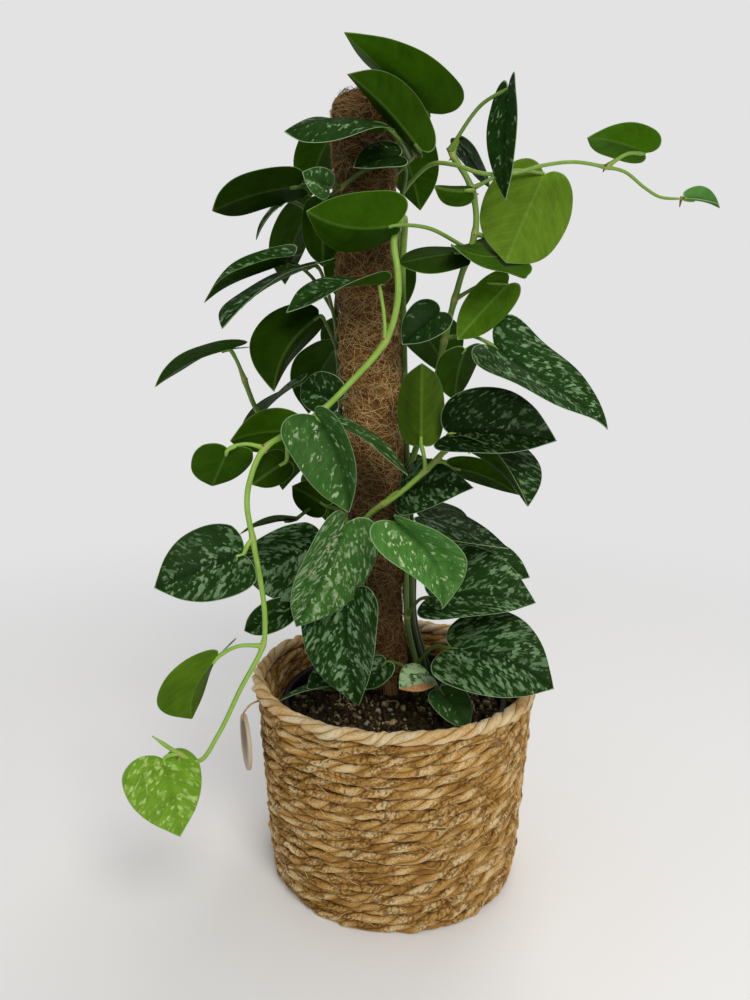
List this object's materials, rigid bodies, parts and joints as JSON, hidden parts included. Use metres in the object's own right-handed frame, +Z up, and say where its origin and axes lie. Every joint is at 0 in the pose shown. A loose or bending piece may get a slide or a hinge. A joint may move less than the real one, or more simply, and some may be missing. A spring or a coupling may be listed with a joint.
{
  "type": "potted satin pothos plant",
  "caption": "Satin pothos with silver-marked heart-shaped leaves, trained up a coir pole in a black nursery pot that stands in a round woven seagrass basket.",
  "frame": {"origin": "centre of the flat underside of the basket, where the plant stands", "axes": "+Z up along the pot's axis, -Y to the front of the plant, +X to its right seen from the front"},
  "size_m": [0.4418, 0.2781, 0.6711],
  "materials": {
    "leaf": "dark green satin leaf with silver patches, bright green underneath",
    "young_leaf": "light yellow-green young leaf with paler patches",
    "seagrass": "dry twisted seagrass cord, matt, straw to brown",
    "rim_cord": "thick pale twisted cord, matt",
    "pot_plastic": "thin black moulded plastic, a little glossy",
    "soil": "dark crumbly potting soil, matt",
    "stake": "dark weathered wood",
    "coir": "rough brown coconut fibre",
    "tag": "plain thin wooden disc with a pale rim"
  },
  "bodies": {
    "root": {"top_vine": "leaf", "runner_vine": "leaf", "trailing_vine": "young_leaf", "right_vine": "leaf", "front_vine": "leaf", "low_right_vine": "leaf", "low_left_vine": "leaf", "left_vine": "leaf", "upper_left_vine": "leaf", "crossing_vine": "leaf", "back_right_vine": "leaf", "back_vine": "leaf", "back_left_vine": "leaf", "back_low_vine": "leaf", "basket_wall": "seagrass", "basket_rim": "rim_cord", "nursery_pot": "pot_plastic", "soil": "soil", "pole_stake": "stake", "coir_sleeve": "coir", "round_tag": "tag"}
  },
  "joints": []
}
